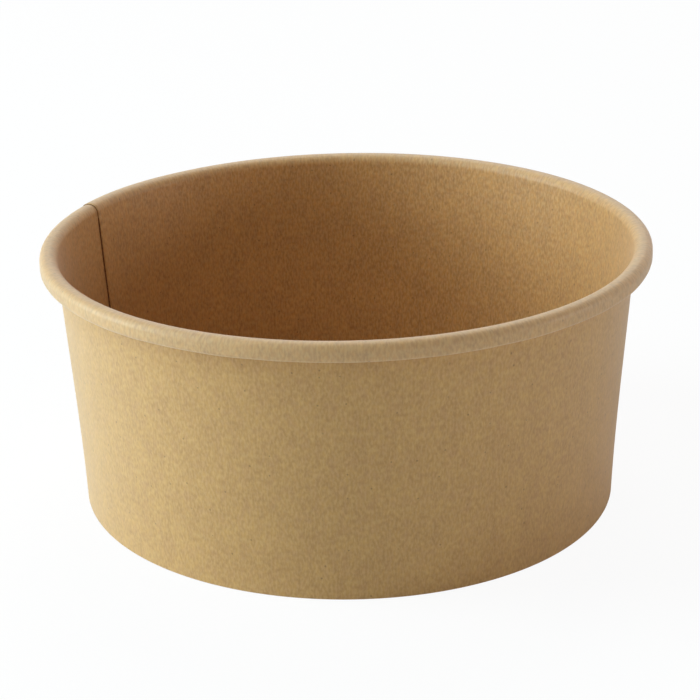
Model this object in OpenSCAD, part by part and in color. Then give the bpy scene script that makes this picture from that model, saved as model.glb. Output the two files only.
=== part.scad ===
// Kraft paperboard salad bowl: a wrapped side wall with a rolled rim, and a pressed base disc.
// Millimetres, +Z up. The origin is the centre of the foot, on the table.

/* [Bowl] */
// Outside diameter over the rim bead
top_d = 150; // [125:0.5:180]
// Outside diameter at the foot
base_d = 133.9; // [110:0.1:145]
// Height from the table to the top of the rim
height = 65.4; // [45:0.1:110]
// Inward bow of the wall, deepest at a third of its height
wall_dish = 0.32; // [0:0.02:1]

/* [Side wall board] */
// Thickness of the side wall's board
board_t = 0.42; // [0.3:0.01:0.55]

/* [Side seam] */
// Direction of the seam's inner cut edge, counter-clockwise from +X
seam_angle = 155.7; // [0:0.1:360]
// Overlap of the blank's two ends at the seam
lap_w = 8; // [5:0.5:12]
// Length of wall over which the inner layer eases back to the round
lap_ease_w = 45; // [25:1:60]
// Step that the inner layer's edge leaves on the rolled bead
bead_step = 0.26; // [0.1:0.01:0.3]

/* [Rim bead] */
// Width of the bead, from the inside of the wall
bead_w = 4.4; // [4:0.05:5.5]
// Height of the bead
bead_h = 4.24; // [4.1:0.01:5.5]
// Radius of the bead's top corner on the inside
bead_in_r = 2.2; // [1.5:0.05:2.3]
// Radius of the bead's top corner on the outside
bead_out_r = 1.7; // [1.2:0.05:1.9]
// Radius of the bead's bottom corners
bead_low_r = 1.15; // [0.9:0.05:1.3]
// Length of board that runs up inside the bead after the last corner
curl_end = 0.9; // [0.2:0.05:1.2]

/* [Foot] */
// Height of the turned-in leg of the wall
leg_h = 6; // [3:0.1:6.2]
// Inside radius of the fold under the foot
fold_in_r = 0.05; // [0.02:0.01:0.1]

/* [Base disc] */
// Thickness of the base disc's board
disc_t = 0.3; // [0.22:0.01:0.45]
// Height of the bowl's floor above the table
floor_h = 7.8; // [7.5:0.1:10]
// Outside radius of the bend between the floor and the skirt
disc_bend_r = 0.9; // [0.5:0.05:1.2]
// Gap left at each sealed face of the foot
seal_gap = 0.05; // [0.03:0.01:0.08]

/* [Hidden] */
$fn = 96;

wall_tone = [0.72, 0.59, 0.42];
disc_tone = [0.66, 0.52, 0.35];

arc_step = 15;
wall_steps = 10;
layer_steps = 7;
ease_rows = 12;
// Part of a step by which the lapped layer's stops lie off the round wall's
half_stop = 0.5;
// Height that the wall's even run leaves to the fold below it and to the bead above it
wall_run_clear = 1;
// Height above the floor at which the lapped layer starts
lap_clear = 0.2;
// Height of wall that stays bare under the bead
bead_clear = 0.1;
// Least step of a lapped layer, so that its faces stay clear of the wall's own
lap_min = 0.06;
// Height over which the lap rises from the pressed foot
lap_rise = 4;
// Brings the deepest place of the wall's bow to 1
dish_scale = 27 / 4;

// Corner centres of the bead, outside faces
top_r = top_d / 2;
in_c = [top_r - bead_w + bead_in_r, height - bead_in_r];
out_c = [top_r - bead_out_r, height - bead_out_r];
low_c = [top_r - bead_low_r, height - bead_h + bead_low_r];

// The wall's inner face runs from the foot to the tangent of the bead's first corner
foot_r = base_d / 2 - board_t;
to_corner = in_c - [foot_r, 0];
wall_lean = atan2(to_corner.x, to_corner.y) - asin(bead_in_r / norm(to_corner));
wall_top = in_c + bead_in_r * dir(180 - wall_lean);

// Heights along the wall
fold_r = fold_in_r + board_t / 2;
fold_z = fold_in_r + board_t;
lap_z = floor_h + lap_clear;
under_bead_z = height - bead_h - bead_clear;

// The skirt of the disc and the wall's leg follow the wall's inner face in the foot
skirt_top_z = floor_h - disc_bend_r;
skirt_end_z = fold_z + seal_gap;
skirt_lean = atan2(inner_r(skirt_top_z) - inner_r(skirt_end_z), skirt_top_z - skirt_end_z);

lap_a = angle_of(lap_w);
lap_ease_a = angle_of(lap_ease_w);
// The blank's ends are sheared at a slant, by about the board's thickness
cut_slant_a = angle_of(board_t);

function dir(a) = [cos(a), sin(a)];
function angle_of(width) = width / (PI * top_d) * 360;

// Deepest, 1, at a third of the way up, and 0 at both ends
function dish_shape(u) = dish_scale * u * (1 - u) * (1 - u);
function dish_slope(u) = dish_scale * (1 - u) * (1 - 3 * u);
function inner_r(z) = foot_r + z * tan(wall_lean) - wall_dish * dish_shape(z / wall_top.y);
function lean_at(z) = atan(tan(wall_lean) - wall_dish * dish_slope(z / wall_top.y) / wall_top.y);

// Each stop on a board's path is [r, z, direction of its face], on the middle of the board.
// The face is the inside of the bowl, which the roll turns to the outside of the bead.
function wall_stop(z) =
    let (lean = lean_at(z))
    [inner_r(z) + board_t / 2 * cos(lean), z - board_t / 2 * sin(lean), 180 - lean];
function wall_run(z0, z1, n) = [for (k = [0 : n]) wall_stop(z0 + (z1 - z0) * k / n)];
function turn(c, face_r, t, a0, a1, first = 0) =
    let (n = max(1, ceil(abs(a1 - a0) / arc_step)))
    [for (k = [first : n - first]) let (a = a0 + (a1 - a0) * k / n) concat(c + (face_r - t / 2) * dir(a), a)];
function fold_turn(c, a0, a1) =
    let (n = ceil(abs(a1 - a0) / arc_step))
    [for (k = [0 : n]) let (a = a0 + (a1 - a0) * k / n) concat(c + fold_r * dir(a), a + 180)];
function face(path, off) = [for (s = path) [s.x, s.y] + off * dir(s.z)];
function backward(list) = [for (k = [len(list) - 1 : -1 : 0]) list[k]];
function strip(path, t) = concat(face(path, t / 2), backward(face(path, -t / 2)));

// The fold under the foot: the leg's corner, the flat land and the wall's corner
fold_out_c = [inner_r(fold_z) - fold_in_r, fold_r + board_t / 2];
fold_in_c = fold_out_c - [2 * seal_gap + disc_t - 2 * fold_in_r, 0];
leg_foot = fold_in_c + fold_r * dir(180 - skirt_lean);
leg_top = leg_foot + (leg_h - leg_foot.y) * [tan(skirt_lean), 1];
foot_path = concat(
    [concat(leg_top, -skirt_lean)],
    fold_turn(fold_in_c, 180 - skirt_lean, 270),
    fold_turn(fold_out_c, 270, 360 - skirt_lean)
);

wall_path = wall_run(fold_z + wall_run_clear, wall_top.y - wall_run_clear, wall_steps);
function bead_roll(first = 0) = concat(
    turn(in_c, bead_in_r, board_t, 180 - wall_lean, 90, first),
    turn(out_c, bead_out_r, board_t, 90, 0, first),
    turn(low_c, bead_low_r, board_t, 0, -90, first)
);

// The roll's last corner runs up inside the bead, just clear of the wall's back
wall_back_r = inner_r(under_bead_z) + board_t / cos(wall_lean);
curl_c = [wall_back_r + seal_gap + bead_low_r / cos(wall_lean) + bead_low_r * tan(wall_lean), low_c.y];
curl_turn = turn(curl_c, bead_low_r, board_t, -90, -180 - wall_lean);
curl_foot = curl_turn[len(curl_turn) - 1];
curl_tip = concat([curl_foot.x, curl_foot.y] + curl_end * dir(90 - wall_lean), curl_foot.z);
round_path = concat(foot_path, wall_path, bead_roll(), curl_turn, [curl_tip]);

// The seam's layers have their stops between the round wall's, so no edge of one lies on the other's
layer_wall = wall_run(lap_z, under_bead_z, layer_steps);
layer_path = concat(layer_wall, bead_roll(half_stop));

// How far the lapped layer stands off the round wall, at an angle past its cut edge
function ease(x) = x <= 0 ? 1 : x >= 1 ? 0 : (1 + cos(180 * x)) / 2;
function foot_fade(z) = 1 - ease((z - lap_z) / lap_rise);
function lap_step(a, s) =
    let (full = s.y > under_bead_z ? bead_step : board_t)
    max(lap_min, full * ease((a - lap_a) / lap_ease_a) * foot_fade(s.y));
function around(p, a) = [p.x * cos(a), p.x * sin(a), p.y];
function off_face(s, off) = [s.x, s.y] + off * dir(s.z);

// Closed skin through rows of loops, each loop a front run and its back run returning
module skin(rows) {
    m = len(rows[0]);
    last = (len(rows) - 1) * m;
    half = m / 2;
    sides = [for (k = [0 : len(rows) - 2], j = [0 : m - 1])
        let (a = k * m + j, d = k * m + (j + 1) % m)
        each [[a, a + m, d + m], [a, d + m, d]]];
    start = [for (i = [0 : half - 2]) each [[i, i + 1, m - 2 - i], [i, m - 2 - i, m - 1 - i]]];
    end = [for (f = start) [last + f[2], last + f[1], last + f[0]]];
    polyhedron(points = [for (row = rows) each row], faces = concat(sides, start, end));
}

// One row of a layer, at an angle clockwise of the inner layer's cut edge.
// The front stands off the path by the lap's step, and the back is even.
function layer_row(path, a, front, back) = concat(
    [for (s = path) around(off_face(s, front + lap_step(a, s)), seam_angle - a)],
    [for (s = backward(path)) around(off_face(s, back), seam_angle - a - cut_slant_a)]
);

lap_angles = [0, lap_a / 2];
ease_angles = [for (k = [0 : ease_rows]) lap_a + lap_ease_a * k / ease_rows];

// The inner layer of the seam, from where it joins the round wall to its cut edge
module inner_layer() {
    skin([for (a = backward(concat(lap_angles, ease_angles))) layer_row(layer_path, a, board_t / 2, 0)]);
}

// The step past the outer layer's cut edge, where only the inner layer goes on
module outer_step() {
    skin([for (a = backward(ease_angles)) layer_row(layer_wall, a, -board_t / 2, -board_t)]);
}

module side_wall() {
    color(wall_tone)
        difference() {
            union() {
                rotate_extrude()
                    polygon(strip(round_path, board_t));
                inner_layer();
            }
            outer_step();
        }
}

module base_disc() {
    skirt_c = [inner_r(skirt_top_z) - seal_gap - disc_bend_r / cos(skirt_lean), skirt_top_z];
    skirt_turn = turn(skirt_c, disc_bend_r, disc_t, 90, -skirt_lean);
    skirt_foot = skirt_turn[len(skirt_turn) - 1];
    skirt_end = [skirt_foot.x - (skirt_foot.y - skirt_end_z) * tan(skirt_lean), skirt_end_z, -skirt_lean];
    color(disc_tone)
        rotate_extrude()
            polygon(strip(concat([[0, floor_h - disc_t / 2, 90]], skirt_turn, [skirt_end]), disc_t));
}

side_wall();
base_disc();
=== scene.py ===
"""Kraft paperboard salad bowl on a pale floor, seen as in its photograph.

Metres, +Z up. The origin is the centre of the foot, on the table. The bowl is a wrapped side wall
with a rolled rim, and a pressed base disc held in its foot.
"""
import math

import bmesh
import bpy
from mathutils import Matrix, Vector, noise


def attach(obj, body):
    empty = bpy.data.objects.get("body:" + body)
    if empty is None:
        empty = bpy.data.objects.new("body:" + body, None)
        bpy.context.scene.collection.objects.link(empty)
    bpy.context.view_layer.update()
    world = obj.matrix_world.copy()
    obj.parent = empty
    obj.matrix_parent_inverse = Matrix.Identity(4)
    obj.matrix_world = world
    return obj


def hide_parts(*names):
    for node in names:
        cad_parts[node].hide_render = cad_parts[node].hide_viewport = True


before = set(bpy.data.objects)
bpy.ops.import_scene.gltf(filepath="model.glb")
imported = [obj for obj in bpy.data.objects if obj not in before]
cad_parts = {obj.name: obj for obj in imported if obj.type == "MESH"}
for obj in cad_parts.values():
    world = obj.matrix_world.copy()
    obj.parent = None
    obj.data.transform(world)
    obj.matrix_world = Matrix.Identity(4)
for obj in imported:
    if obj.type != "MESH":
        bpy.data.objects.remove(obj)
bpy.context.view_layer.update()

MM = 0.001

# The camera stands about half a metre away, looks down on the rim and is tipped a little to one side
look_down = math.radians(21.709)
camera_tip = math.radians(-1.016)
camera_turn = math.radians(3.746)
camera_lift = math.radians(1.521)
camera_far = 509.51 * MM
bowl_middle = Vector((0, 0, 32.695 * MM))

camera_lens = bpy.data.cameras.new("camera")
camera_lens.sensor_width = 36
camera_lens.lens = 103.345
camera_lens.shift_x = 0.1951
camera_lens.shift_y = -0.065
camera = bpy.data.objects.new("camera", camera_lens)
bpy.context.collection.objects.link(camera)
turned = Matrix.Rotation(math.pi / 2 - look_down, 4, "X") @ Matrix.Rotation(camera_tip, 4, "Z")
turned = turned @ Matrix.Rotation(camera_turn, 4, "Y") @ Matrix.Rotation(camera_lift, 4, "X")
towards_camera = Vector((0, -math.cos(look_down), math.sin(look_down)))
camera.matrix_world = Matrix.Translation(bowl_middle + camera_far * towards_camera) @ turned
bpy.context.scene.camera = camera


# Side wall: one fan-shaped blank of kraft paperboard, about 0.42 mm thick. It is wrapped round and
# heat-sealed along a lapped seam at the back left. The top edge is rolled outwards into the rim bead,
# and the foot is folded in and up again round the skirt of the base disc.
rim_r = 75 * MM
foot_out_r = 66.95 * MM
bowl_h = 65.4 * MM
board_t = 0.42 * MM
bow_in = 0.32 * MM
# Brings the deepest place of the bow to 1
bow_scale = 27 / 4

seam_at = math.radians(155.7)
lap_w = 8 * MM
lap_ease_w = 45 * MM
lap_least = 0.06 * MM
lap_clear = 0.03 * MM
lap_rise = 4 * MM
foot_lap_out = 0.12 * MM
bead_step = 0.26 * MM

bead_w = 4.4 * MM
bead_h = 4.24 * MM
bead_in_r = 2.2 * MM
bead_out_r = 1.7 * MM
bead_low_r = 1.15 * MM
curl_end = 0.9 * MM

leg_h = 6 * MM
fold_in_r = 0.05 * MM
seal_gap = 0.05 * MM
disc_t = 0.3 * MM
floor_h = 7.8 * MM
disc_bend_r = 0.9 * MM

around_steps = 360
leg_stops = 4
fold_stops = 5
wall_stops = 34
corner_stops = 11
wall_run_clear = 1 * MM


def dir_of(angle):
    return Vector((math.cos(angle), math.sin(angle)))


def lap_angle(width):
    return width / rim_r


bead_in_c = Vector((rim_r - bead_w + bead_in_r, bowl_h - bead_in_r))
bead_out_c = Vector((rim_r - bead_out_r, bowl_h - bead_out_r))
bead_low_c = Vector((rim_r - bead_low_r, bowl_h - bead_h + bead_low_r))
foot_r = foot_out_r - board_t
to_corner = bead_in_c - Vector((foot_r, 0))
wall_lean = math.atan2(to_corner.x, to_corner.y) - math.asin(bead_in_r / to_corner.length)
wall_top = bead_in_c + bead_in_r * dir_of(math.pi - wall_lean)
under_bead_z = bowl_h - bead_h


def inside_r(z):
    """Radius of the wall's inner face. Its bow is deepest a third of the way up."""
    u = z / wall_top.y
    return foot_r + z * math.tan(wall_lean) - bow_in * bow_scale * u * (1 - u) ** 2


def lean_at(z):
    u = z / wall_top.y
    return math.atan(math.tan(wall_lean) - bow_in * bow_scale * (1 - u) * (1 - 3 * u) / wall_top.y)


# A stop on a board's path is the place of the board's middle and the direction that its face looks in
def wall_stop(z):
    lean = lean_at(z)
    face = math.pi - lean
    return Vector((inside_r(z), z)) - board_t / 2 * dir_of(face), face


def bend(centre, middle_r, start, end, steps, hollow=False):
    """Stops round a corner. The face looks out of it, or into it where the fold is hollow."""
    stops = []
    for k in range(steps + 1):
        angle = start + (end - start) * k / steps
        stops.append((centre + middle_r * dir_of(angle), angle + (math.pi if hollow else 0)))
    return stops


quarter = math.pi / 2
fold_r = fold_in_r + board_t / 2
fold_z = fold_in_r + board_t
skirt_top_z = floor_h - disc_bend_r
skirt_end_z = fold_z + seal_gap
skirt_lean = math.atan2(inside_r(skirt_top_z) - inside_r(skirt_end_z), skirt_top_z - skirt_end_z)
fold_out_c = Vector((inside_r(fold_z) - fold_in_r, fold_z))
fold_in_c = fold_out_c - Vector((2 * seal_gap + disc_t - 2 * fold_in_r, 0))
leg_foot = fold_in_c + fold_r * dir_of(math.pi - skirt_lean)
leg_run = (leg_h - leg_foot.y) * Vector((math.tan(skirt_lean), 1))
curl_back_r = inside_r(under_bead_z) + board_t / math.cos(wall_lean) + seal_gap
curl_out = bead_low_r / math.cos(wall_lean) + bead_low_r * math.tan(wall_lean)
curl_c = Vector((curl_back_r + curl_out, bead_low_c.y))

# The board's path from the tip of the leg, round the fold, up the wall and round the bead
path = [(leg_foot + leg_run * (1 - k / leg_stops), -skirt_lean) for k in range(leg_stops)]
path += bend(fold_in_c, fold_r, math.pi - skirt_lean, 3 * quarter, fold_stops, hollow=True)
path += bend(fold_out_c, fold_r, 3 * quarter, 2 * math.pi - skirt_lean, fold_stops, hollow=True)
wall_from = fold_z + wall_run_clear
wall_rise = wall_top.y - wall_run_clear - wall_from
path += [wall_stop(wall_from + wall_rise * k / wall_stops) for k in range(wall_stops + 1)]
bead_first = len(path)
path += bend(bead_in_c, bead_in_r - board_t / 2, math.pi - wall_lean, quarter, corner_stops)
path += bend(bead_out_c, bead_out_r - board_t / 2, quarter, 0, corner_stops)
path += bend(bead_low_c, bead_low_r - board_t / 2, 0, -quarter, corner_stops)
path += bend(curl_c, bead_low_r - board_t / 2, -quarter, -math.pi - wall_lean, corner_stops)
path.append((path[-1][0] + curl_end * dir_of(quarter - wall_lean), path[-1][1]))


def ease(x):
    """From 1 at 0 smoothly down to 0 at 1."""
    if x <= 0:
        return 1
    if x >= 1:
        return 0
    return (1 + math.cos(math.pi * x)) / 2


def wave(angle, wave_w, seed):
    """A smooth seeded wave round the rim, about 1 at most, that meets itself after a full turn."""
    reach = rim_r / wave_w
    gain = 1.6
    return gain * noise.noise(Vector((reach * math.cos(angle), reach * math.sin(angle), seed)))


def layer_shift(stop, past_edge, to_end):
    """How far a layer at the seam stands off the round path, inwards or outwards."""
    place, face = stop
    on_bead = place.y > under_bead_z and place.x > wall_top.x
    risen = 1 - ease((place.y - floor_h) / lap_rise)
    full = bead_step if on_bead else board_t + lap_clear
    eased = ease((past_edge - lap_angle(lap_w)) / lap_angle(lap_ease_w))
    shift = max(lap_least, full * eased * risen) * dir_of(face)
    if to_end < lap_angle(lap_w):
        # The outer layer keeps to the round path, and only in the foot does it stand out round the other
        shift = -foot_lap_out * (1 - risen) * Vector((math.cos(face), 0))
    return shift


# The bead's small waves, each with its width and its seed
bead_swell = 0.06 * MM
swell_wave = (9 * MM, 3.5)
bead_sag = 0.09 * MM
long_sag_wave = (14 * MM, 7.1)
short_sag_wave = (5 * MM, 1.7)
short_sag_share = 0.5

full_turn = 2 * math.pi + lap_angle(lap_w)
turn_steps = round(around_steps * full_turn / (2 * math.pi))

sheet = bmesh.new()
start = []
for place, _ in path:
    start.append(sheet.verts.new((place.x * math.cos(seam_at), place.x * math.sin(seam_at), place.y)))
edges = [sheet.edges.new(pair) for pair in zip(start, start[1:])]
turning = {"cent": (0, 0, 0), "axis": (0, 0, 1), "angle": -full_turn, "steps": turn_steps}
bmesh.ops.spin(sheet, geom=start + edges, **turning)

# Length of board from the tip of the leg to each stop
run = [0]
for (before, _), (after, _) in zip(path, path[1:]):
    run.append(run[-1] + (after - before).length)

for vertex in sheet.verts:
    step, stop = divmod(vertex.index, len(path))
    past = full_turn * step / turn_steps
    angle = seam_at - past
    place, face = path[stop]
    moved = place + layer_shift(path[stop], past, full_turn - past)
    if stop >= bead_first:
        low = min(1, max(0, (bowl_h - place.y) / bead_h))
        swell = bead_swell * wave(angle, *swell_wave) * low
        waves = wave(angle, *long_sag_wave) + short_sag_share * wave(angle, *short_sag_wave)
        sag = bead_sag * waves * low ** 2
        moved += Vector((swell, sag))
    vertex.co = (moved.x * math.cos(angle), moved.x * math.sin(angle), moved.y)

board_uv = sheet.loops.layers.uv.new("board")
for quad in sheet.faces:
    for corner in quad.loops:
        step, stop = divmod(corner.vert.index, len(path))
        corner[board_uv].uv = (full_turn * rim_r * step / turn_steps, run[stop])
    quad.smooth = True

# The front of the sheet is the inside of the bowl, and takes the first material
sheet.normal_update()
half_way = min(sheet.faces, key=lambda quad: abs(quad.calc_center_median().z - bowl_h / 2))
if half_way.normal.dot(half_way.calc_center_median()) > 0:
    bmesh.ops.reverse_faces(sheet, faces=sheet.faces[:])
sheet_mesh = bpy.data.meshes.new("side_wall_board")
sheet.to_mesh(sheet_mesh)
sheet.free()
side_wall = bpy.data.objects.new("side_wall_board", sheet_mesh)
bpy.context.collection.objects.link(side_wall)
thickness = side_wall.modifiers.new("board thickness", "SOLIDIFY")
thickness.thickness = board_t
thickness.offset = 0
thickness.use_even_offset = True
thickness.material_offset = 1
thickness.material_offset_rim = 2


class Shade:
    """One output in a material's node tree. It adds up with other outputs and with plain numbers."""

    def __init__(self, tree, socket=None):
        self.tree = tree
        self.socket = socket

    def node(self, kind, settings=None, inputs=None, output=0):
        """Adds a node, sets it up, fills or links its inputs, and gives back one of its outputs."""
        made = self.tree.nodes.new(kind)
        for name, value in (settings or {}).items():
            setattr(made, name, value)
        for name, value in (inputs or {}).items():
            if isinstance(value, Shade):
                self.tree.links.new(value.socket, made.inputs[name])
            else:
                made.inputs[name].default_value = value
        return Shade(self.tree, made.outputs[output])

    def maths(self, operation, *values):
        return self.node("ShaderNodeMath", {"operation": operation}, dict(enumerate(values)))

    def __add__(self, other):
        return self.maths("ADD", self, other)

    def __radd__(self, other):
        return self.maths("ADD", other, self)

    def __sub__(self, other):
        return self.maths("SUBTRACT", self, other)

    def __rsub__(self, other):
        return self.maths("SUBTRACT", other, self)

    def __mul__(self, other):
        return self.maths("MULTIPLY", self, other)

    def __rmul__(self, other):
        return self.maths("MULTIPLY", other, self)

    def between(self, low, high):
        """0 up to the low value, 1 from the high value on, and smooth between them."""
        settings = {"interpolation_type": "SMOOTHSTEP"}
        inputs = {"Value": self, "From Min": low, "From Max": high}
        return self.node("ShaderNodeMapRange", settings, inputs)

    def vector(self, operation, other):
        return self.node("ShaderNodeVectorMath", {"operation": operation}, {0: self, 1: other})

    def tint(self, share, colour):
        """This colour, mixed with another by a share."""
        inputs = {"Factor": share, 6: self, 7: colour}
        return self.node("ShaderNodeMix", {"data_type": "RGBA"}, inputs, output=2)

    def grain(self, wide, tall, detail=2.0, rough=0.5):
        """Noise on the unrolled board, with marks of about this width and height in millimetres."""
        stretched = self.vector("MULTIPLY", (1 / wide, 1 / tall, 1))
        inputs = {"Vector": stretched, "Scale": 1, "Detail": detail, "Roughness": rough}
        return self.node("ShaderNodeTexNoise", {"noise_dimensions": "2D"}, inputs)


def linear(red, green, blue):
    """A colour as seen on a screen, 0 to 255, in the light values that materials use."""
    light = []
    for part in (red, green, blue):
        part /= 255
        light.append(part / 12.92 if part <= 0.04045 else ((part + 0.055) / 1.055) ** 2.4)
    return (*light, 1)


def new_material(name):
    """A new material, its node tree and its main shader."""
    material = bpy.data.materials.new(name)
    material.use_nodes = True
    return material, Shade(material.node_tree), material.node_tree.nodes["Principled BSDF"]


kraft_outer = linear(200, 153, 84)
kraft_inner = linear(204, 147, 76)
kraft_dark = linear(160, 113, 62)
kraft_light = linear(221, 184, 126)
kraft_reddish = linear(198, 146, 110)
# Paler tone of the rolled rim: partly whitened stretched board, partly painted light
kraft_stretched_and_lit = linear(216, 190, 152)
fleck_brown = linear(92, 62, 36)
ply_light = linear(156, 118, 78)
ply_dark = linear(116, 82, 52)

# How strongly the marks show on each face of a board
inner_marks = 0.8
outer_marks = 0.6

# Places up the blank, in millimetres from the tip of the leg
leg_v = run[leg_stops] / MM
inner_corner_v = run[bead_first] / MM


def kraft_board(name, tone, marks, shift, side_wall=False):
    """Brown kraft board under a thin clear film: cloudy, with short upright fibres and a few flecks.

    The shift, in millimetres, gives each face of the boards marks of its own.
    """
    material, tree, main = new_material(name)
    blank = tree.node("ShaderNodeUVMap", {"uv_map": "board"}).vector("MULTIPLY", (1 / MM, 1 / MM, 1))
    flat = blank.vector("ADD", shift)
    clouds = flat.grain(6, 9, detail=3, rough=0.55)
    mottle = flat.grain(1.5, 2.6, detail=2)
    grain = flat.grain(0.9, 1.05, detail=1)
    fibres = flat.grain(0.55, 1.3, detail=1.5)
    pores = flat.grain(0.13, 0.2, detail=1)
    cloud_share = 0.30
    mottle_share = 0.34
    grain_share = 0.50
    fibre_share = 0.46
    pore_share = 0.05
    dark = cloud_share * (1 - clouds.between(0.3, 0.7)) + mottle_share * (1 - mottle.between(0.25, 0.75))
    dark = dark + grain_share * (1 - grain.between(0.2, 0.8))
    light = fibre_share * fibres.between(0.3, 0.75) + pore_share * pores
    colour = tree.node("ShaderNodeRGB")
    colour.socket.default_value = tone
    colour = colour.tint(marks * dark, kraft_dark).tint(marks * light, kraft_light)
    patches = flat.vector("ADD", (40, 90, 0)).grain(2.2, 3.4, detail=1)
    patch_share = 0.12
    colour = colour.tint(patch_share * patches.between(0.4, 0.75), kraft_reddish)

    # About one fleck in every few squares of this many millimetres, ragged at its edge
    fleck_apart = 6
    fleck_ragged = 0.05
    fleck_share = 0.5
    spots = flat.vector("MULTIPLY", (1 / fleck_apart, 1 / fleck_apart, 1))
    cell = {"Vector": spots, "Scale": 1, "Randomness": 1}
    spot = tree.node("ShaderNodeTexVoronoi", {"voronoi_dimensions": "2D"}, cell, output="Distance")
    chance = tree.node("ShaderNodeTexVoronoi", {"voronoi_dimensions": "2D"}, cell, output="Color")
    chosen = tree.node("ShaderNodeSeparateColor", None, {"Color": chance}, output="Red")
    fleck = 1 - (spot + fleck_ragged * (fibres - 0.5)).between(0.02, 0.05)
    fleck = fleck * chosen.between(0.6, 0.8)
    colour = colour.tint(fleck_share * fleck, fleck_brown)

    height = 0.6 * fibres + 0.15 * pores + 0.8 * mottle
    if side_wall:
        # The roll stretches and wrinkles the board, and the leg's seal leaves upright crimp marks. The
        # roll's paler tint is partly stretched board and partly painted light for the roll's brighter
        # top
        roll_fade = 2.5
        stretched_and_lit_share = 0.24
        crimp_w = 1.7
        crimps_end = leg_v - 1.2
        crimp_fade = 0.6
        across = blank.node("ShaderNodeSeparateXYZ", None, {"Vector": blank}, output="X")
        upwards = blank.node("ShaderNodeSeparateXYZ", None, {"Vector": blank}, output="Y")
        rolled = upwards.between(inner_corner_v, inner_corner_v + roll_fade)
        # Paler over the whole roll: partly whitened stretched board, partly painted light for the roll
        # catching more light from above
        colour = colour.tint(stretched_and_lit_share * rolled, kraft_stretched_and_lit)
        wrinkles = blank.grain(0.9, 7, detail=2)
        height = height + 2.2 * rolled * wrinkles
        crimps = across.maths("SINE", across * (2 * math.pi / crimp_w))
        height = height + 2.5 * crimps * (1 - upwards.between(crimps_end, crimps_end + crimp_fade))
    tree.tree.links.new(colour.socket, main.inputs["Base Color"])
    rough = 0.52 + 0.10 * (mottle - 0.5)
    tree.tree.links.new(rough.socket, main.inputs["Roughness"])
    main.inputs["Sheen Weight"].default_value = 0.3
    main.inputs["Sheen Roughness"].default_value = 0.5
    bump = tree.node("ShaderNodeBump", None, {"Height": height, "Strength": 0.1, "Distance": 0.04 * MM})
    tree.tree.links.new(bump.socket, main.inputs["Normal"])
    return material


cut_edge, cut_tree, cut_main = new_material("kraft_cut_edge")
plies = cut_tree.node("ShaderNodeTexCoord", output="Object").vector("MULTIPLY", (1 / MM, 1 / MM, 1 / MM))
plies = plies.node("ShaderNodeTexNoise", None, {"Vector": plies, "Scale": 3, "Detail": 3})
raw = cut_tree.node("ShaderNodeRGB")
raw.socket.default_value = ply_light
raw = raw.tint(plies.between(0.3, 0.7), ply_dark)
cut_tree.tree.links.new(raw.socket, cut_main.inputs["Base Color"])
cut_main.inputs["Roughness"].default_value = 0.9

inside = kraft_board("kraft_inside", kraft_inner, inner_marks, (0, 0, 0), side_wall=True)
outside = kraft_board("kraft_outside", kraft_outer, outer_marks, (613, 207, 0), side_wall=True)
for look in (inside, outside, cut_edge):
    sheet_mesh.materials.append(look)
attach(side_wall, "root")
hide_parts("side_wall")


# Base disc: one pressed disc of thinner kraft board. Its edge is turned down as a skirt, which is
# sealed between the wall and the wall's turned-in leg, so the floor stands above the table.
disc_crown = 0.35 * MM
groove_deep = 0.12 * MM
groove_at = 0.93
groove_w = 0.03
disc_steps = 256
floor_stops = 26
skirt_bend_stops = 8
skirt_stops = 4

skirt_c_r = inside_r(skirt_top_z) - seal_gap - disc_bend_r / math.cos(skirt_lean)
skirt_c = Vector((skirt_c_r, skirt_top_z))
disc_path = []
for k in range(floor_stops):
    share = k / floor_stops
    groove = groove_deep * math.exp(-(((share - groove_at) / groove_w) ** 2))
    crown = disc_crown * ease(share) - groove
    disc_path.append(Vector((skirt_c.x * share, floor_h - disc_t / 2 + crown)))
skirt_bend = bend(skirt_c, disc_bend_r - disc_t / 2, quarter, -skirt_lean, skirt_bend_stops)
disc_path += [place for place, _ in skirt_bend]
skirt_run = (disc_path[-1].y - skirt_end_z) * Vector((math.tan(skirt_lean), 1))
disc_path += [disc_path[-1] - skirt_run * k / skirt_stops for k in range(1, skirt_stops + 1)]

disc = bmesh.new()
start = [disc.verts.new((place.x, 0, place.y)) for place in disc_path]
edges = [disc.edges.new(pair) for pair in zip(start, start[1:])]
turning = {"cent": (0, 0, 0), "axis": (0, 0, 1), "angle": 2 * math.pi, "steps": disc_steps}
bmesh.ops.spin(disc, geom=start + edges, use_merge=True, **turning)
bmesh.ops.remove_doubles(disc, verts=disc.verts[:], dist=0.001 * MM)
bmesh.ops.recalc_face_normals(disc, faces=disc.faces[:])
# The disc's place on its sheet of board, clear of the sheet's corner
on_sheet = 0.2
disc_uv = disc.loops.layers.uv.new("board")
for quad in disc.faces:
    quad.smooth = True
    for corner in quad.loops:
        place = corner.vert.co
        corner[disc_uv].uv = (place.x + on_sheet, place.y + on_sheet + place.z)
disc.normal_update()
middle = min(disc.faces, key=lambda quad: quad.calc_center_median().xy.length)
if middle.normal.z < 0:
    bmesh.ops.reverse_faces(disc, faces=disc.faces[:])
disc_mesh = bpy.data.meshes.new("base_disc_board")
disc.to_mesh(disc_mesh)
disc.free()
base_disc = bpy.data.objects.new("base_disc_board", disc_mesh)
bpy.context.collection.objects.link(base_disc)
thickness = base_disc.modifiers.new("board thickness", "SOLIDIFY")
thickness.thickness = disc_t
thickness.offset = 0
thickness.use_even_offset = True
thickness.material_offset = 1
thickness.material_offset_rim = 2
upper = kraft_board("kraft_floor", kraft_inner, inner_marks, (101, 59, 0))
under = kraft_board("kraft_floor_under", kraft_outer, outer_marks, (7, 311, 0))
for look in (upper, under, cut_edge):
    disc_mesh.materials.append(look)
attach(base_disc, "root")
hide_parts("base_disc")


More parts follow.
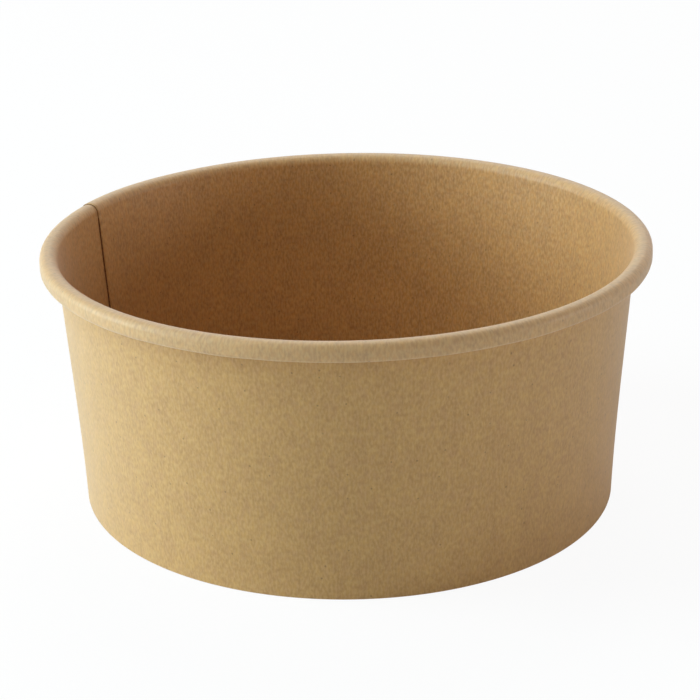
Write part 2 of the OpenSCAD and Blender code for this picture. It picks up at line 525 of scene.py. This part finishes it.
# Floor and lamps: a pale floor that runs out to white, and soft lamps round the bowl
floor_size = 6
floor_pale = 0.97
floor_white_share = 0.93
floor_mesh = bpy.data.meshes.new("floor")
floor_shape = bmesh.new()
bmesh.ops.create_grid(floor_shape, x_segments=1, y_segments=1, size=floor_size / 2)
floor_shape.to_mesh(floor_mesh)
floor_shape.free()
floor = bpy.data.objects.new("floor", floor_mesh)
bpy.context.collection.objects.link(floor)
floor_look, floor_tree, floor_main = new_material("floor")
floor_main.inputs["Base Color"].default_value = (floor_pale, floor_pale, floor_pale, 1)
floor_main.inputs["Roughness"].default_value = 0.9
shine = floor_tree.node("ShaderNodeEmission", None, {"Color": (1, 1, 1, 1), "Strength": 1})
seen = floor_tree.node("ShaderNodeLightPath", output="Is Camera Ray")
mixed = floor_tree.node("ShaderNodeMixShader", None, {"Fac": floor_white_share * seen})
floor_tree.tree.links.new(floor_main.outputs[0], mixed.socket.node.inputs[1])
floor_tree.tree.links.new(shine.socket, mixed.socket.node.inputs[2])
floor_tree.tree.links.new(mixed.socket, floor_tree.tree.nodes["Material Output"].inputs["Surface"])
floor_mesh.materials.append(floor_look)

# Each lamp: degrees round the bowl from the right, degrees above the floor, size, power and colour
KEY_WHITE = (0.79, 1.0, 1.05)
COOL_WHITE = (0.9, 1.0, 1.12)
WARM_WHITE = (1.0, 0.97, 0.94)
LAMPS = (
    ("lamp_left_low", 180, 14, 0.8, 16.2, KEY_WHITE),
    ("lamp_left_high", 180, 46, 0.8, 6.4, KEY_WHITE),
    ("lamp_back_high", 90, 55, 0.8, 6.0, WARM_WHITE),
    ("lamp_front_left_high", 232, 45, 0.8, 1.4, KEY_WHITE),
    ("lamp_front_left_low", 225, 8, 0.35, 1.2, COOL_WHITE),
    ("lamp_right_low", 355, 7, 0.35, 3.9, WARM_WHITE),
)
lamp_far = 1.4
for name, round_at, height_at, size, power, tone in LAMPS:
    lamp_data = bpy.data.lights.new(name, "AREA")
    lamp_data.shape = "DISK"
    lamp_data.size = size
    lamp_data.energy = power
    lamp_data.color = tone
    lamp = bpy.data.objects.new(name, lamp_data)
    bpy.context.collection.objects.link(lamp)
    around = math.radians(round_at)
    above = math.radians(height_at)
    level = math.cos(above)
    towards = Vector((math.cos(around) * level, math.sin(around) * level, math.sin(above)))
    aimed = towards.to_track_quat("Z", "Y").to_matrix().to_4x4()
    lamp.matrix_world = Matrix.Translation(bowl_middle + lamp_far * towards) @ aimed

room_light = 0.18
world = bpy.data.worlds.new("studio")
bpy.context.scene.world = world
world.use_nodes = True
room = Shade(world.node_tree)
seen = room.node("ShaderNodeLightPath", output="Is Camera Ray")
glossy = seen.socket.node.outputs["Is Glossy Ray"]
passed = seen.socket.node.outputs["Is Transmission Ray"]
white = seen.maths("MAXIMUM", seen, Shade(room.tree, glossy))
white = white.maths("MAXIMUM", white, Shade(room.tree, passed))
background = world.node_tree.nodes["Background"]
background.inputs["Color"].default_value = (1, 1, 1, 1)
strength = room_light + (1 - room_light) * white
room.tree.links.new(strength.socket, background.inputs["Strength"])

bpy.context.scene.view_settings.view_transform = "Standard"
